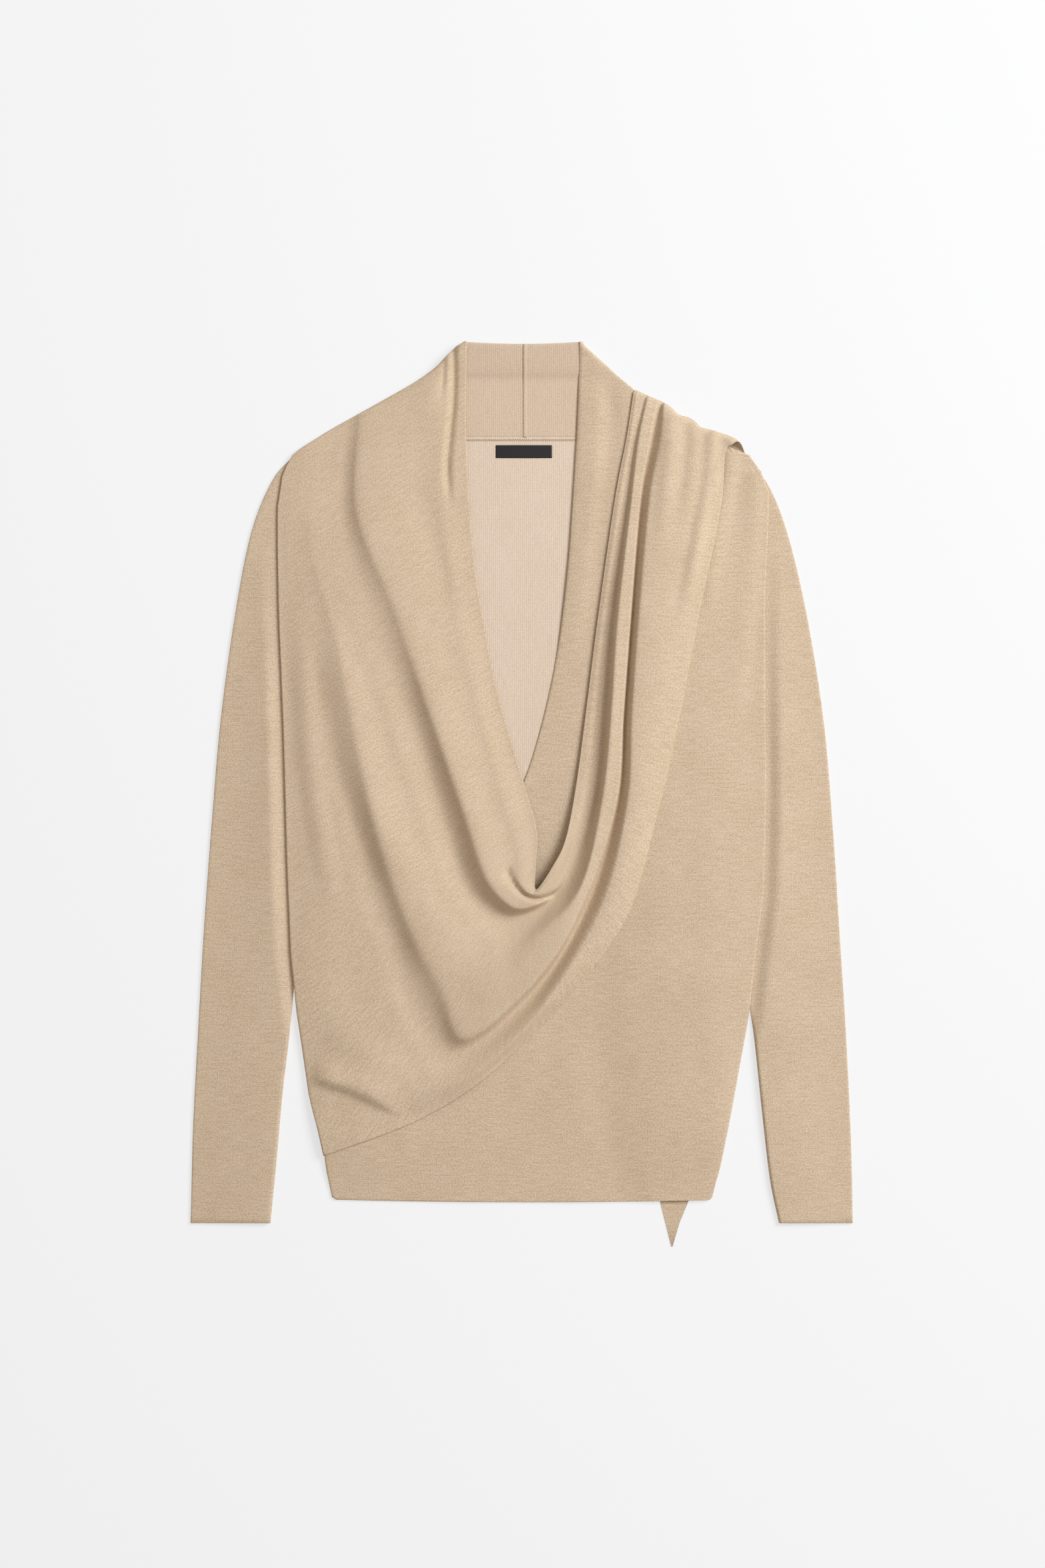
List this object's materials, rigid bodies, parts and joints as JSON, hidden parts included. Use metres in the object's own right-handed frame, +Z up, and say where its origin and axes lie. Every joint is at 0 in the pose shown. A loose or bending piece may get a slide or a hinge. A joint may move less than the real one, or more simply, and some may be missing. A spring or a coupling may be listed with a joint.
{
  "type": "wrap cardigan",
  "caption": "Long-sleeved wrap cardigan in fine beige jersey, laid flat with its front swagged across the chest and over one shoulder.",
  "frame": {"origin": "on the surface under the middle of the laid-out garment, at the bottom centre of its box", "axes": "+X to the wearer's left, +Y from the hem to the neck, +Z up from the surface, out of the front"},
  "size_m": [0.5465, 0.7459, 0.0165],
  "materials": {
    "jersey": "fine jersey knit, beige, smooth face",
    "jersey_inside": "fine jersey knit, beige, ribbed inside face",
    "label_satin": "black woven satin, blank"
  },
  "bodies": {
    "root": {"back": "jersey_inside", "front_left": "jersey", "front_right": "jersey", "sleeve_right": "jersey", "sleeve_left": "jersey", "collar_right": "jersey_inside", "collar_left": "jersey_inside", "neck_label": "label_satin"}
  },
  "joints": []
}
